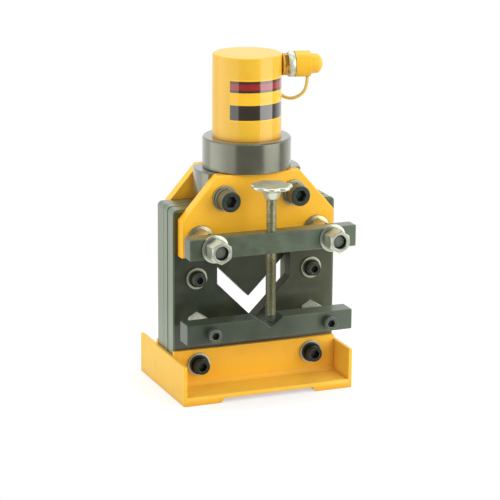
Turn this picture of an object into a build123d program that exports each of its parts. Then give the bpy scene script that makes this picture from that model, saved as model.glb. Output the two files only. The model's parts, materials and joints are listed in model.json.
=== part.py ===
"""Hydraulic angle-steel cutter: a ram drives a V blade down past a fixed V die.

Millimetres. X is to the right, Y to the back, Z up; the working side faces -Y.
Inside this file y = 0 is the middle plane of the plate stack and z = 0 the floor.
Every piece is one solid, or a group of equal fasteners, in its own file.
"""

import os
from math import cos, pi, radians, sin, sqrt

from build123d import *

os.makedirs("parts", exist_ok=True)

# The stored frame has its origin under the middle of the whole object's box
STORED_Y = 19.75

# Base: two angle irons, two side plates and two foot strips, welded
BASE_HALF_X = 120.0
BASE_HALF_Y = 85.0
SIDE_T = 4.5
SIDE_TOP = 54.0
FOOT_T = 6.0
FOOT_INNER_X = 64.0
FOOT_BEVEL = 4.0
ANGLE_T = 5.5
ANGLE_TOP = 60.0
ANGLE_FILLET = 5.0

# Plate stack: front die plate, guide layer, rear plate
STACK_HALF_X = 115.0
STACK_TOP = 252.0
STACK_CORNER = 6.5
STACK_FRONT_Y = -29.0
GUIDE_FRONT_Y = -9.0
GUIDE_REAR_Y = 6.0
STACK_REAR_Y = 29.0
SEAM_CHAMFER = 1.8

# Work opening, all V sides at 45 degrees
DIE_HALF_X = 52.5
DIE_APEX_Z = 94.0
DIE_TOP_Z = 194.0
SPACER_APEX_Z = 76.0
WINDOW_HALF_X = 64.0
WINDOW_APEX_Z = 60.0
WINDOW_TOP_Z = 180.0

# Blade and ram
BLADE_CLEAR = 0.1
BLADE_APEX_Z = 119.5
BLADE_TOP_Z = 246.0
TANG_HALF_X = 18.0
TANG_TOP_Z = 306.0
ROD_R = 22.0
ROD_BOTTOM_Z = 288.0
PISTON_R = 31.95
PISTON_Z = (388.0, 412.0)
SEAL_Z = (397.0, 403.0)
SEAL_INNER_R = 28.0
PIN_R = 5.0
PIN_Z = 297.0
SPRING_WIRE = 5.0
SPRING_MEAN_R = 27.0
SPRING_TURNS = 5.0

# Head: two yellow plates round a round block with flats
HEAD_T = 16.0
HEAD_HALF_X = 108.0
HEAD_TOP_HALF_X = 58.0
HEAD_Z = (190.0, 239.0, 296.5)
BLOCK_R = 71.5
BLOCK_Z = (252.0, 297.0)
BLOCK_BORE_R = 23.0

# Cylinder
COLLAR_R = 59.0
COLLAR_Z = (297.0, 338.0)
COLLAR_SEAT_Z = 305.0
WIPER_R = 27.0
BARREL_R = 45.7
BARREL_TOP_Z = 448.6
BARREL_SPIGOT_R = 39.9
BORE_R = 32.0
BORE_TOP_Z = 416.0
GLAND_TOP_Z = 321.0
RUN_FIT = 0.05

# Oil inlet: axis height, turn towards the front, and stations out from the cylinder axis
PORT_Z = 432.0
PORT_TURN = 11.5
PORT_THREAD_R = 8.5
PORT_DEPTH_S = 24.0
SHANK_R = 9.5
EYE_S = (46.0, 49.0)
EYE_R = 14.8
HEX_S = (49.2, 53.8)
HEX_AF = 27.0
RING_S = (53.8, 62.8)
RING_R = 17.0
NOSE_R = 12.0
NOSE_END_S = 80.2
CAP_S = (63.1, 83.9, 101.0)
CAP_R = 17.2
CAP_KNOB_R = (13.8, 12.0)
CAP_DOME_R = 15.5
CAP_CLEAR = 0.3
POPPET_R = 4.5
POPPET_S = (68.2, 79.2)

# Strap from the inlet's shank to the dust cap: (station out, towards the back, up from the axis)
STRAP_R = 2.2
STRAP_BEND = 8.0
STRAP_ROUTE = [
    (46.9, 11.5, -4.0),
    (44.2, 20.4, -14.0),
    (44.4, 20.8, -34.0),
    (50.0, 16.8, -46.5),
    (63.0, 7.5, -48.5),
    (76.0, 2.0, -40.5),
    (80.9, 0.0, -28.0),
    (80.9, 0.0, -17.5),
]

# Hold-down: upper bar on two studs, hand screw, lower rest bar
UPPER_HALF_X = 116.8
UPPER_Y = (-98.0, -77.0)
UPPER_Z = (200.0, 228.4)
STUD_X = 82.5
STUD_Z = 214.0
STUD_R = 9.0
STUD_Y = (-118.5, 66.0)
LOWER_HALF_X = 117.0
LOWER_Y = (-89.4, -61.7)
LOWER_Z = (83.6, 111.0)
NOTCH_HALF_X = 18.0
NOTCH_APEX_Z = 97.0
SCREW_Y = -87.5
SCREW_R = 7.0
SCREW_Z = (108.5, 284.0)
TIP_R = 7.0
TIP_Z = (103.0, 109.0, 114.0)
KNOB_R = 28.0
KNOB_LOBES = 7
KNOB_TURN = 22.0
KNOB_Z = (271.5, 285.0, 290.0)
SCALLOP_R = 12.0
SCALLOP_DEPTH = 3.4

# Fasteners: nominal diameter, place in X and Z
REST_BOLT = (12.0, 82.0, 97.3)
PLATE_BOLT = (12.0, 82.0, 157.0)
BASE_BOLT = (14.0, 81.0, 40.0)
HEAD_BOLT = (18.0, 49.0, 266.5)
HEAD_BOLT_GRIP = 20.0
COLLAR_BOLT = (10.0, 49.5)
COLLAR_BOLT_GRIP = 17.0
BAR_NUT_LENGTH = 26.5
COLLAR_NUT_AF = 27.0
COLLAR_NUT_FLANGE_R = 18.5
COLLAR_NUT_FLANGE_T = 2.5
COLLAR_NUT_SLOPE_T = 2.5
JAM_NUT_T = 8.0
REAR_NUT_T = 15.0
SPACER_AF = 24.0
PLAIN_WASHER_T = 2.5
PLAIN_WASHER_R = 14.4
BASE_WASHER_R = 15.5
SPRING_WASHER_T = 4.5
SPRING_WASHER_R = 14.7
FLAT_WASHER_T = 3.0
FLAT_WASHER_R = 17.0

SIDES = (-1, 1)
FROM_BELOW = (Align.CENTER, Align.CENTER, Align.MIN)


def box(x, y, z):
    """Box between pairs of limits."""
    middle = Pos(sum(x) / 2, sum(y) / 2, sum(z) / 2)
    return middle * Box(x[1] - x[0], y[1] - y[0], z[1] - z[0])


def disc_z(x, y, r, z):
    """Upright cylinder between two heights."""
    return Pos(x, y, z[0]) * Cylinder(r, z[1] - z[0], align=FROM_BELOW)


def disc_y(x, z, r, y):
    """Cylinder lying along Y between two depths."""
    return Pos(x, y[1], z) * Rot(90, 0, 0) * Cylinder(r, y[1] - y[0], align=FROM_BELOW)


def hex_y(x, z, across_flats, y):
    """Hexagonal prism lying along Y, one corner on top."""
    face = RegularPolygon(across_flats / 2, 6, major_radius=False, rotation=30)
    return extrude(facing_front(x, y[1], z) * face, y[1] - y[0])


def facing_front(x, y, z):
    """Plane whose own Z points to the front and whose own Y points up."""
    return Plane((x, y, z), (1, 0, 0), (0, -1, 0))


def slab(points, y):
    """Flat plate of an X-Z outline between two depths."""
    outline = make_face(Polyline(*points, close=True))
    return extrude(facing_front(0, y[1], 0) * outline, y[1] - y[0])


def on_port(shape):
    """Moves a shape drawn along +Z onto the inlet's axis; its own X points to the back."""
    a = radians(PORT_TURN)
    plane = Plane((0, 0, PORT_Z), (sin(a), cos(a), 0), (cos(a), -sin(a), 0))
    return plane * shape


def both_sides(make):
    """Group of the left and right copies of one fastener."""
    return make(-1) + make(1)


def save(name, shape):
    export_step(Pos(0, STORED_Y, 0) * shape, f"parts/{name}.step")


def cap_screw(x, y, z, out, d, shank):
    """Socket-head screw along Y; its head stands out of y to the front (-1) or back (1)."""
    head = Cylinder(0.75 * d, d, align=FROM_BELOW)
    head = fillet(head.edges().group_by(Axis.Z)[-1], 0.07 * d)
    socket = RegularPolygon(0.42 * d, 6, major_radius=False)
    head -= Pos(0, 0, 0.5 * d) * extrude(socket, d)
    stem = Pos(0, 0, -shank) * Cylinder(d / 2, shank, align=FROM_BELOW)
    return Plane((x, y, z), (1, 0, 0), (0, out, 0)) * (head + stem)


def washer(x, z, outer, inner, y):
    return disc_y(x, z, outer, y) - disc_y(x, z, inner, y)


def spring_washer(x, z, outer, inner, y):
    """Plain ring with its slanted split."""
    split = Pos(x, sum(y) / 2, z + outer) * Rot(0, 0, 35) * Box(1.6, 20, outer)
    return washer(x, z, outer, inner, y) - split


def collar_nut(x, z, hole, y):
    """Hexagon nut with a sloping round flange at its back, chamfered at its free end and in its bore."""
    front, back = y
    length = back - front
    crown = Cone(COLLAR_NUT_AF * 0.5 + length, COLLAR_NUT_AF * 0.5 - 0.7, length, align=FROM_BELOW)
    nut = hex_y(x, z, COLLAR_NUT_AF, y) & facing_front(x, back, z) * crown
    nut += disc_y(x, z, COLLAR_NUT_FLANGE_R, (back - COLLAR_NUT_FLANGE_T, back))
    slope = Cone(COLLAR_NUT_FLANGE_R, COLLAR_NUT_AF * 0.5, COLLAR_NUT_SLOPE_T, align=FROM_BELOW)
    nut += facing_front(x, back - COLLAR_NUT_FLANGE_T, z) * slope
    nut -= disc_y(x, z, hole, (front - 1, back + 1))
    mouth = Cone(hole, hole + 1.2, 1.2, align=FROM_BELOW)
    return nut - facing_front(x, front + 1.2, z) * mouth


def plain_nut(x, z, across_flats, hole, y):
    return hex_y(x, z, across_flats, y) - disc_y(x, z, hole, (y[0] - 1, y[1] + 1))


# Base

def base_angle(side):
    """Rolled angle iron: upright leg against the plate stack, flat leg outwards."""
    inner, outer = STACK_REAR_Y, BASE_HALF_Y
    knee = (inner + ANGLE_T, FOOT_T + ANGLE_T)
    profile = Polyline(
        (inner, FOOT_T),
        (outer, FOOT_T),
        (outer, knee[1]),
        (knee[0], knee[1]),
        (knee[0], ANGLE_TOP),
        (inner, ANGLE_TOP),
        close=True,
    )
    face = make_face(profile)
    corner = face.vertices().sort_by_distance((knee[0], knee[1], 0))[0]
    face = fillet(corner, ANGLE_FILLET)
    length = 2 * (BASE_HALF_X - SIDE_T)
    plane = Plane((-length / 2, 0, 0), (0, 1, 0), (1, 0, 0))
    iron = extrude(plane * face, length)
    d, x, z = BASE_BOLT
    for hand in SIDES:
        iron -= disc_y(hand * x, z, d / 2 + 0.4, (inner - 1, inner + ANGLE_T + 1))
    return iron if side > 0 else Rot(0, 0, 180) * iron


def base_side(side):
    inner = BASE_HALF_X - SIDE_T
    x = (inner, BASE_HALF_X) if side > 0 else (-BASE_HALF_X, -inner)
    return box(x, (-BASE_HALF_Y, BASE_HALF_Y), (0, SIDE_TOP))


def base_foot(side):
    """Flat strip with its inner lower edge bevelled."""
    outer = BASE_HALF_X - SIDE_T
    profile = [
        (FOOT_INNER_X, FOOT_T),
        (FOOT_INNER_X, FOOT_BEVEL),
        (FOOT_INNER_X + FOOT_BEVEL, 0),
        (outer, 0),
        (outer, FOOT_T),
    ]
    return slab([(side * x, z) for x, z in profile], (-BASE_HALF_Y, BASE_HALF_Y))


# Plate stack

def v_opening(half_x, apex_z, top_z, y):
    """Five-sided opening: a right-angled V below, upright sides above."""
    shoulder = apex_z + half_x
    points = [(0, apex_z), (half_x, shoulder), (half_x, top_z), (-half_x, top_z), (-half_x, shoulder)]
    return slab(points, y)


def stack_blank(x, y):
    """Plate of the stack with its two upper outer corners rounded."""
    blank = box(x, y, (FOOT_T, STACK_TOP))
    corners = [
        edge
        for edge in blank.edges().filter_by(Axis.Y).group_by(Axis.Z)[-1]
        if abs(edge.center().X) > STACK_HALF_X - 1
    ]
    return fillet(corners, STACK_CORNER)


def seam(plate, y):
    """Chamfers the outer edges of a plate where it meets the next one."""
    edges = [
        edge
        for edge in plate.edges()
        if abs(edge.center().Y - y) < 0.01 and abs(edge.bounding_box().size.Y) < 0.01
        and (abs(edge.center().X) > STACK_HALF_X - 2.5 or edge.center().Z > STACK_TOP - 2.5)
    ]
    return chamfer(edges, SEAM_CHAMFER)


def stud_holes(y):
    return [disc_y(side * STUD_X, STUD_Z, STUD_R + 0.2, y) for side in SIDES]


def front_plate():
    y = (STACK_FRONT_Y, GUIDE_FRONT_Y)
    plate = seam(stack_blank((-STACK_HALF_X, STACK_HALF_X), y), y[1])
    plate -= v_opening(DIE_HALF_X, DIE_APEX_Z, DIE_TOP_Z, (y[0] - 1, y[1] + 1))
    plate -= stud_holes((y[0] - 1, y[1] + 1))
    for side in SIDES:
        for d, x, z in (REST_BOLT, BASE_BOLT):
            plate -= disc_y(side * x, z, d / 2, (y[0] - 1, y[0] + 15))
        d, x, z = PLATE_BOLT
        plate -= disc_y(side * x, z, d / 2 + 0.4, (y[0] - 1, y[1] + 1))
    return plate


def guide_rail(side):
    y = (GUIDE_FRONT_Y, GUIDE_REAR_Y)
    inner = DIE_HALF_X + BLADE_CLEAR
    x = (inner, STACK_HALF_X) if side > 0 else (-STACK_HALF_X, -inner)
    rail = seam(stack_blank(x, y), y[0])
    rail -= stud_holes((y[0] - 1, y[1] + 1))
    d, bolt_x, z = PLATE_BOLT
    return rail - disc_y(side * bolt_x, z, d / 2 + 0.4, (y[0] - 1, y[1] + 1))


def lower_spacer():
    y = (GUIDE_FRONT_Y, GUIDE_REAR_Y)
    half = DIE_HALF_X + BLADE_CLEAR
    shoulder = SPACER_APEX_Z + half
    points = [(-half, FOOT_T), (half, FOOT_T), (half, shoulder), (0, SPACER_APEX_Z), (-half, shoulder)]
    return slab(points, y)


def rear_plate():
    y = (GUIDE_REAR_Y, STACK_REAR_Y)
    plate = stack_blank((-STACK_HALF_X, STACK_HALF_X), y)
    plate -= v_opening(WINDOW_HALF_X, WINDOW_APEX_Z, WINDOW_TOP_Z, (y[0] - 1, y[1] + 1))
    plate -= stud_holes((y[0] - 1, y[1] + 1))
    for side in SIDES:
        d, x, z = PLATE_BOLT
        plate -= disc_y(side * x, z, d / 2, (y[0] - 1, y[0] + 15))
        d, x, z = BASE_BOLT
        plate -= disc_y(side * x, z, d / 2, (y[1] - 15, y[1] + 1))
    return plate


# Head and cylinder

def head_plate(side):
    low, knee, top = HEAD_Z
    half = [(HEAD_HALF_X, low), (HEAD_HALF_X, knee), (HEAD_TOP_HALF_X, top)]
    points = half + [(-x, z) for x, z in reversed(half)]
    inner, outer = STACK_REAR_Y, STACK_REAR_Y + HEAD_T
    y = (inner, outer) if side > 0 else (-outer, -inner)
    plate = slab(points, y)
    face = plate.faces().sort_by(Axis.Y)[-1 if side > 0 else 0]
    plate = chamfer(face.edges(), 1.2)
    hole_y = (y[0] - 1, y[1] + 1)
    plate -= stud_holes(hole_y)
    d, x, z = HEAD_BOLT
    for hand in SIDES:
        plate -= disc_y(hand * x, z, d / 2 + 0.5, hole_y)
    return plate


def head_block():
    """Round block with two flats that seat against the head plates."""
    block = disc_z(0, 0, BLOCK_R, BLOCK_Z)
    block = chamfer(block.edges().group_by(Axis.Z)[-1], 1.5)
    block &= box((-BLOCK_R, BLOCK_R), (STACK_FRONT_Y, STACK_REAR_Y), BLOCK_Z)
    block -= disc_z(0, 0, BLOCK_BORE_R, (BLOCK_Z[0] - 1, BLOCK_Z[1] + 1))
    d, x, z = HEAD_BOLT
    deep = HEAD_BOLT_GRIP + 0.5
    for hand in SIDES:
        block -= disc_y(hand * x, z, d / 2, (STACK_FRONT_Y - 1, STACK_FRONT_Y + deep))
        block -= disc_y(hand * x, z, d / 2, (STACK_REAR_Y - deep, STACK_REAR_Y + 1))
    d, x = COLLAR_BOLT
    for hand in SIDES:
        block -= disc_z(hand * x, 0, d / 2 + 0.3, (BLOCK_Z[0] - 1, BLOCK_Z[1] + 1))
        block -= disc_z(hand * x, 0, 0.75 * d + 0.3, (BLOCK_Z[0] - 1, BLOCK_Z[0] + d + 0.5))
    return block


def cylinder_collar():
    """Turned collar: it is bolted to the block from below and holds the barrel's thread."""
    half = [
        (WIPER_R, COLLAR_Z[0]),
        (COLLAR_R - 1, COLLAR_Z[0]),
        (COLLAR_R, COLLAR_Z[0] + 1),
        (COLLAR_R, COLLAR_Z[1] - 2),
        (COLLAR_R - 2, COLLAR_Z[1]),
        (BARREL_SPIGOT_R, COLLAR_Z[1]),
        (BARREL_SPIGOT_R, COLLAR_SEAT_Z),
        (WIPER_R, COLLAR_SEAT_Z),
    ]
    collar = turned(half)
    d, x = COLLAR_BOLT
    for hand in SIDES:
        collar -= disc_z(hand * x, 0, d / 2, (COLLAR_Z[0] - 1, COLLAR_Z[0] + COLLAR_BOLT_GRIP + 1))
    return collar


def turned(half):
    """Revolves an (r, z) outline about the cylinder's axis."""
    face = make_face(Polyline(*half, close=True))
    return revolve(Plane.XZ * face, Axis.Z)


def cylinder_barrel():
    barrel = disc_z(0, 0, BARREL_R, (COLLAR_Z[1], BARREL_TOP_Z))
    barrel = fillet(barrel.edges().group_by(Axis.Z)[-1], 2.5)
    barrel += disc_z(0, 0, BARREL_SPIGOT_R, (COLLAR_SEAT_Z, COLLAR_Z[1]))
    barrel -= disc_z(0, 0, BORE_R, (COLLAR_SEAT_Z - 1, BORE_TOP_Z))
    barrel -= on_port(disc_z(0, 0, PORT_THREAD_R, (PORT_DEPTH_S, BARREL_R + 5)))
    barrel -= on_port(disc_z(0, 0, 3, (0, PORT_DEPTH_S + 1)))
    barrel -= disc_z(0, 0, 3, (BORE_TOP_Z - 1, PORT_Z))
    return barrel


def gland_bush():
    z = (COLLAR_SEAT_Z, GLAND_TOP_Z)
    bush = disc_z(0, 0, BORE_R, z) - disc_z(0, 0, ROD_R + RUN_FIT, z)
    return chamfer(bush.edges().group_by(Axis.Z)[-1], 0.8)


def rod_wiper():
    """Lip ring that keeps grit off the rod, in the collar's lower bore."""
    half = [
        (ROD_R + RUN_FIT, COLLAR_Z[0] + 2),
        (ROD_R + 2, COLLAR_Z[0]),
        (WIPER_R, COLLAR_Z[0]),
        (WIPER_R, COLLAR_SEAT_Z),
        (ROD_R + RUN_FIT, COLLAR_SEAT_Z),
    ]
    return turned(half)


# Ram and blade, which travel together

def piston_rod():
    """Piston and rod in one, with a seal groove above and a fork below."""
    half = [
        (0, ROD_BOTTOM_Z),
        (ROD_R - 1, ROD_BOTTOM_Z),
        (ROD_R, ROD_BOTTOM_Z + 1),
        (ROD_R, PISTON_Z[0]),
        (PISTON_R, PISTON_Z[0]),
        (PISTON_R, SEAL_Z[0]),
        (SEAL_INNER_R, SEAL_Z[0]),
        (SEAL_INNER_R, SEAL_Z[1]),
        (PISTON_R, SEAL_Z[1]),
        (PISTON_R, PISTON_Z[1] - 1),
        (PISTON_R - 1, PISTON_Z[1]),
        (0, PISTON_Z[1]),
    ]
    rod = turned(half)
    slot_y = (GUIDE_FRONT_Y, GUIDE_REAR_Y)
    rod -= box((-ROD_R - 1, ROD_R + 1), slot_y, (ROD_BOTTOM_Z - 1, TANG_TOP_Z))
    return rod - disc_y(0, PIN_Z, PIN_R, (-ROD_R - 1, ROD_R + 1))


def piston_seal():
    return disc_z(0, 0, PISTON_R, SEAL_Z) - disc_z(0, 0, SEAL_INNER_R, SEAL_Z)


def moving_blade():
    """V blade ground at 45 degrees, with the tang that the rod's fork holds."""
    y = (GUIDE_FRONT_Y + BLADE_CLEAR, GUIDE_REAR_Y - BLADE_CLEAR)
    shoulder = BLADE_APEX_Z + DIE_HALF_X
    half = [
        (DIE_HALF_X, shoulder),
        (DIE_HALF_X, BLADE_TOP_Z),
        (TANG_HALF_X, BLADE_TOP_Z),
        (TANG_HALF_X, TANG_TOP_Z - 0.5),
    ]
    points = [(0, BLADE_APEX_Z)] + half + [(-x, z) for x, z in reversed(half)]
    blade = slab(points, y)
    return blade - disc_y(0, PIN_Z, PIN_R, (y[0] - 1, y[1] + 1))


def ram_pin():
    reach = sqrt(ROD_R**2 - PIN_R**2) - 0.4
    return disc_y(0, PIN_Z, PIN_R, (-reach, reach))


def return_spring():
    """Compression spring between the gland and the piston, with free ends."""
    gap = 0.3
    low = GLAND_TOP_Z + SPRING_WIRE / 2 + gap
    rise = PISTON_Z[0] - SPRING_WIRE / 2 - gap - low
    path = Helix(rise / SPRING_TURNS, rise, SPRING_MEAN_R)
    wire = Plane(path @ 0, z_dir=path % 0) * Circle(SPRING_WIRE / 2)
    return Pos(0, 0, low) * sweep(wire, path, is_frenet=True)


# Oil inlet

def coupler_neck():
    """Adapter: thread in the barrel, plain shank, hexagon."""
    neck = disc_z(0, 0, PORT_THREAD_R, (PORT_DEPTH_S + 0.5, BARREL_R - 1))
    neck += disc_z(0, 0, SHANK_R, (BARREL_R + 0.1, HEX_S[0]))
    neck += disc_z(0, 0, PORT_THREAD_R, (BARREL_R - 2, HEX_S[0]))
    hexagon = extrude(RegularPolygon(HEX_AF / 2, 6, major_radius=False), HEX_S[1] - HEX_S[0])
    neck += Pos(0, 0, HEX_S[0]) * hexagon
    neck -= disc_z(0, 0, POPPET_R - 1, (PORT_DEPTH_S, HEX_S[1] + 1))
    return on_port(neck)


def coupler_body():
    """Half coupling: grip ring outside, threaded nose under the cap."""
    body = disc_z(0, 0, RING_R, RING_S)
    body = chamfer(body.edges().group_by(Axis.Z)[0], 1.8)
    body = chamfer(body.edges().group_by(Axis.Z)[-1], 0.6)
    body += disc_z(0, 0, NOSE_R, (RING_S[1] - 1, NOSE_END_S))
    body -= disc_z(0, 0, POPPET_R - 1, (RING_S[0] - 1, POPPET_S[0]))
    body -= disc_z(0, 0, POPPET_R + RUN_FIT, (POPPET_S[0] - 6, NOSE_END_S + 1))
    return on_port(body)


def coupler_poppet():
    """Valve that a hose end pushes in."""
    poppet = disc_z(0, 0, POPPET_R, (POPPET_S[0] + 3, POPPET_S[1]))
    return on_port(fillet(poppet.edges().group_by(Axis.Z)[-1], 2.0))


def dust_cap():
    """Moulded cup with a tapered, domed pull knob."""
    start, step, end = CAP_S
    cap = disc_z(0, 0, CAP_R, (start, step))
    cap = fillet(cap.edges(), 0.8)
    knob = Pos(0, 0, step - 2) * Cone(*CAP_KNOB_R, end - step + 2, align=FROM_BELOW)
    cap += knob & Pos(0, 0, end - CAP_DOME_R) * Sphere(CAP_DOME_R)
    cap -= disc_z(0, 0, NOSE_R + CAP_CLEAR, (start - 1, NOSE_END_S + 0.4))
    return on_port(cap)


def cap_strap():
    """Moulded strap with the eye that sits on the inlet's shank."""
    eye = disc_z(0, 0, EYE_R, EYE_S) - disc_z(0, 0, SHANK_R + 0.05, EYE_S)
    line = FilletPolyline(*[(back, up, s) for s, back, up in STRAP_ROUTE], radius=STRAP_BEND)
    section = Plane(line @ 0, z_dir=line % 0) * Circle(STRAP_R)
    return on_port(eye + sweep(section, line))


# Hold-down

def upper_clamp_bar():
    bar = box((-UPPER_HALF_X, UPPER_HALF_X), UPPER_Y, UPPER_Z)
    bar = chamfer(bar.edges(), 1.0)
    bar -= stud_holes((UPPER_Y[0] - 1, UPPER_Y[1] + 1))
    return bar - disc_z(0, SCREW_Y, SCREW_R + RUN_FIT, (UPPER_Z[0] - 1, UPPER_Z[1] + 1))


def lower_rest_bar():
    bar = box((-LOWER_HALF_X, LOWER_HALF_X), LOWER_Y, LOWER_Z)
    bar = chamfer(bar.edges(), 1.0)
    flank = (LOWER_Z[1] - NOTCH_APEX_Z) / NOTCH_HALF_X
    over = NOTCH_HALF_X + 3
    notch = [(0, NOTCH_APEX_Z), (over, NOTCH_APEX_Z + over * flank), (-over, NOTCH_APEX_Z + over * flank)]
    bar -= slab(notch, (LOWER_Y[0] - 1, LOWER_Y[1] + 1))
    d, x, z = REST_BOLT
    for side in SIDES:
        bar -= disc_y(side * x, z, d / 2 + 0.4, (LOWER_Y[0] - 1, LOWER_Y[1] + 1))
    return bar


def clamp_screw():
    """Threaded rod with a reduced end that turns in the foot."""
    low, high = SCREW_Z
    rod = disc_z(0, SCREW_Y, SCREW_R, (TIP_Z[-1] + 0.3, high))
    rod += disc_z(0, SCREW_Y, SCREW_R - 3, (low, TIP_Z[-1] + 1))
    return rod


def clamp_tip():
    """Swivel foot under the screw, with a blunt point that reaches into an angle's corner."""
    point, shoulder, top = TIP_Z
    foot = disc_z(0, SCREW_Y, TIP_R, (shoulder, top))
    taper = Cone(TIP_R - shoulder + point, TIP_R, shoulder - point, align=FROM_BELOW)
    foot += Pos(0, SCREW_Y, point) * taper
    return foot - disc_z(0, SCREW_Y, SCREW_R - 3 + RUN_FIT, (SCREW_Z[0] - 0.3, top + 1))


def clamp_knob():
    """Cast hand knob: thin scalloped rim, shallow dish on top, flared hub below."""
    low, rim, top = KNOB_Z
    half = Polyline(
        (0, low),
        (8.4, low),
        (11, rim - 5),
        (14, rim - 2),
        (KNOB_R - 2.5, rim),
        (KNOB_R, rim + 1.2),
        (KNOB_R, top - 1.5),
        (KNOB_R - 2.5, top),
        (KNOB_R - 12, top - 1.8),
        (0, top - 1.8),
        close=True,
    )
    body = revolve(Plane.XZ * make_face(half), Axis.Z)
    plan = Circle(KNOB_R)
    reach = KNOB_R + SCALLOP_R - SCALLOP_DEPTH
    for i in range(KNOB_LOBES):
        a = radians(KNOB_TURN) + 2 * pi * (i + 0.5) / KNOB_LOBES
        plan -= Pos(-reach * sin(a), -reach * cos(a)) * Circle(SCALLOP_R)
    plan = fillet(plan.vertices(), 3.0)
    knob = Pos(0, SCREW_Y, 0) * (body & Pos(0, 0, low) * extrude(plan, top - low))
    return knob - disc_z(0, SCREW_Y, SCREW_R, (low - 1, SCREW_Z[1]))


# Fasteners

def clamp_studs():
    return both_sides(
        lambda side: chamfer(disc_y(side * STUD_X, STUD_Z, STUD_R, STUD_Y).edges(), 1.2)
    )


def bar_nuts():
    y = (UPPER_Y[0] - BAR_NUT_LENGTH, UPPER_Y[0])
    return both_sides(lambda side: collar_nut(side * STUD_X, STUD_Z, STUD_R, y))


def plate_collar_nuts():
    face = STACK_FRONT_Y - HEAD_T
    y = (UPPER_Y[1] + JAM_NUT_T, face)
    return both_sides(lambda side: collar_nut(side * STUD_X, STUD_Z, STUD_R, y))


def bar_jam_nuts():
    y = (UPPER_Y[1], UPPER_Y[1] + JAM_NUT_T)
    return both_sides(lambda side: plain_nut(side * STUD_X, STUD_Z, COLLAR_NUT_AF, STUD_R, y))


def rear_stud_washers():
    face = STACK_REAR_Y + HEAD_T
    y = (face, face + FLAT_WASHER_T)
    return both_sides(lambda side: washer(side * STUD_X, STUD_Z, FLAT_WASHER_R, STUD_R + 0.5, y))


def rear_stud_nuts():
    face = STACK_REAR_Y + HEAD_T + FLAT_WASHER_T
    y = (face, face + REAR_NUT_T)
    return both_sides(lambda side: plain_nut(side * STUD_X, STUD_Z, COLLAR_NUT_AF, STUD_R, y))


def rest_bar_screws():
    d, x, z = REST_BOLT
    shank = STACK_FRONT_Y + 14 - LOWER_Y[0]
    return both_sides(lambda side: cap_screw(side * x, LOWER_Y[0], z, -1, d, shank))


def rest_bar_spacers():
    """Plain hexagon stand-offs between the rest bar and the front plate."""
    d, x, z = REST_BOLT
    y = (LOWER_Y[1], STACK_FRONT_Y)
    return both_sides(lambda side: plain_nut(side * x, z, SPACER_AF, d / 2 + 0.2, y))


def plate_bolts():
    d, x, z = PLATE_BOLT
    seat = STACK_FRONT_Y - PLAIN_WASHER_T
    shank = GUIDE_REAR_Y + 14 - seat
    return both_sides(lambda side: cap_screw(side * x, seat, z, -1, d, shank))


def plate_bolt_washers():
    d, x, z = PLATE_BOLT
    y = (STACK_FRONT_Y - PLAIN_WASHER_T, STACK_FRONT_Y)
    return both_sides(lambda side: washer(side * x, z, PLAIN_WASHER_R, d / 2 + 0.4, y))


def base_bolts(out):
    d, x, z = BASE_BOLT
    seat = STACK_REAR_Y + ANGLE_T + PLAIN_WASHER_T
    shank = ANGLE_T + PLAIN_WASHER_T + 14
    return both_sides(lambda side: cap_screw(side * x, out * seat, z, out, d, shank))


def base_bolt_washers():
    d, x, z = BASE_BOLT
    near, far = STACK_REAR_Y + ANGLE_T, STACK_REAR_Y + ANGLE_T + PLAIN_WASHER_T
    return Part() + [
        washer(side * x, z, BASE_WASHER_R, d / 2 + 0.4, y)
        for side in SIDES
        for y in ((-far, -near), (near, far))
    ]


def head_bolts(out):
    d, x, z = HEAD_BOLT
    under = FLAT_WASHER_T + SPRING_WASHER_T
    seat = STACK_REAR_Y + HEAD_T + under
    shank = HEAD_T + under + HEAD_BOLT_GRIP
    return both_sides(lambda side: cap_screw(side * x, out * seat, z, out, d, shank))


def collar_bolts():
    """Screws up through the block into the collar, heads sunk in the block's underside."""
    d, x = COLLAR_BOLT
    seat = BLOCK_Z[0] + d + 0.5
    shank = COLLAR_Z[0] + COLLAR_BOLT_GRIP - seat
    screw = Rot(90, 0, 0) * cap_screw(0, 0, 0, 1, d, shank)
    return both_sides(lambda side: Pos(side * x, 0, seat) * Rot(180, 0, 0) * screw)


def head_flat_washers():
    d, x, z = HEAD_BOLT
    near = STACK_REAR_Y + HEAD_T
    far = near + FLAT_WASHER_T
    return Part() + [
        washer(side * x, z, FLAT_WASHER_R, d / 2 + 0.4, y)
        for side in SIDES
        for y in ((-far, -near), (near, far))
    ]


def head_spring_washers():
    d, x, z = HEAD_BOLT
    near = STACK_REAR_Y + HEAD_T + FLAT_WASHER_T
    far = near + SPRING_WASHER_T
    return Part() + [
        spring_washer(side * x, z, SPRING_WASHER_R, d / 2 + 0.3, y)
        for side in SIDES
        for y in ((-far, -near), (near, far))
    ]


save("base_front_angle", base_angle(-1))
save("base_rear_angle", base_angle(1))
save("base_side_left", base_side(-1))
save("base_side_right", base_side(1))
save("base_foot_left", base_foot(-1))
save("base_foot_right", base_foot(1))
save("front_plate", front_plate())
save("guide_rail_left", guide_rail(-1))
save("guide_rail_right", guide_rail(1))
save("lower_spacer", lower_spacer())
save("rear_plate", rear_plate())
save("head_plate_front", head_plate(-1))
save("head_plate_rear", head_plate(1))
save("head_block", head_block())
save("cylinder_collar", cylinder_collar())
save("cylinder_barrel", cylinder_barrel())
save("gland_bush", gland_bush())
save("rod_wiper", rod_wiper())
save("piston_rod", piston_rod())
save("piston_seal", piston_seal())
save("moving_blade", moving_blade())
save("ram_pin", ram_pin())
save("return_spring", return_spring())
save("coupler_neck", coupler_neck())
save("coupler_body", coupler_body())
save("coupler_poppet", coupler_poppet())
save("dust_cap", dust_cap())
save("cap_strap", cap_strap())
save("upper_clamp_bar", upper_clamp_bar())
save("lower_rest_bar", lower_rest_bar())
save("clamp_screw", clamp_screw())
save("clamp_tip", clamp_tip())
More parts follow.
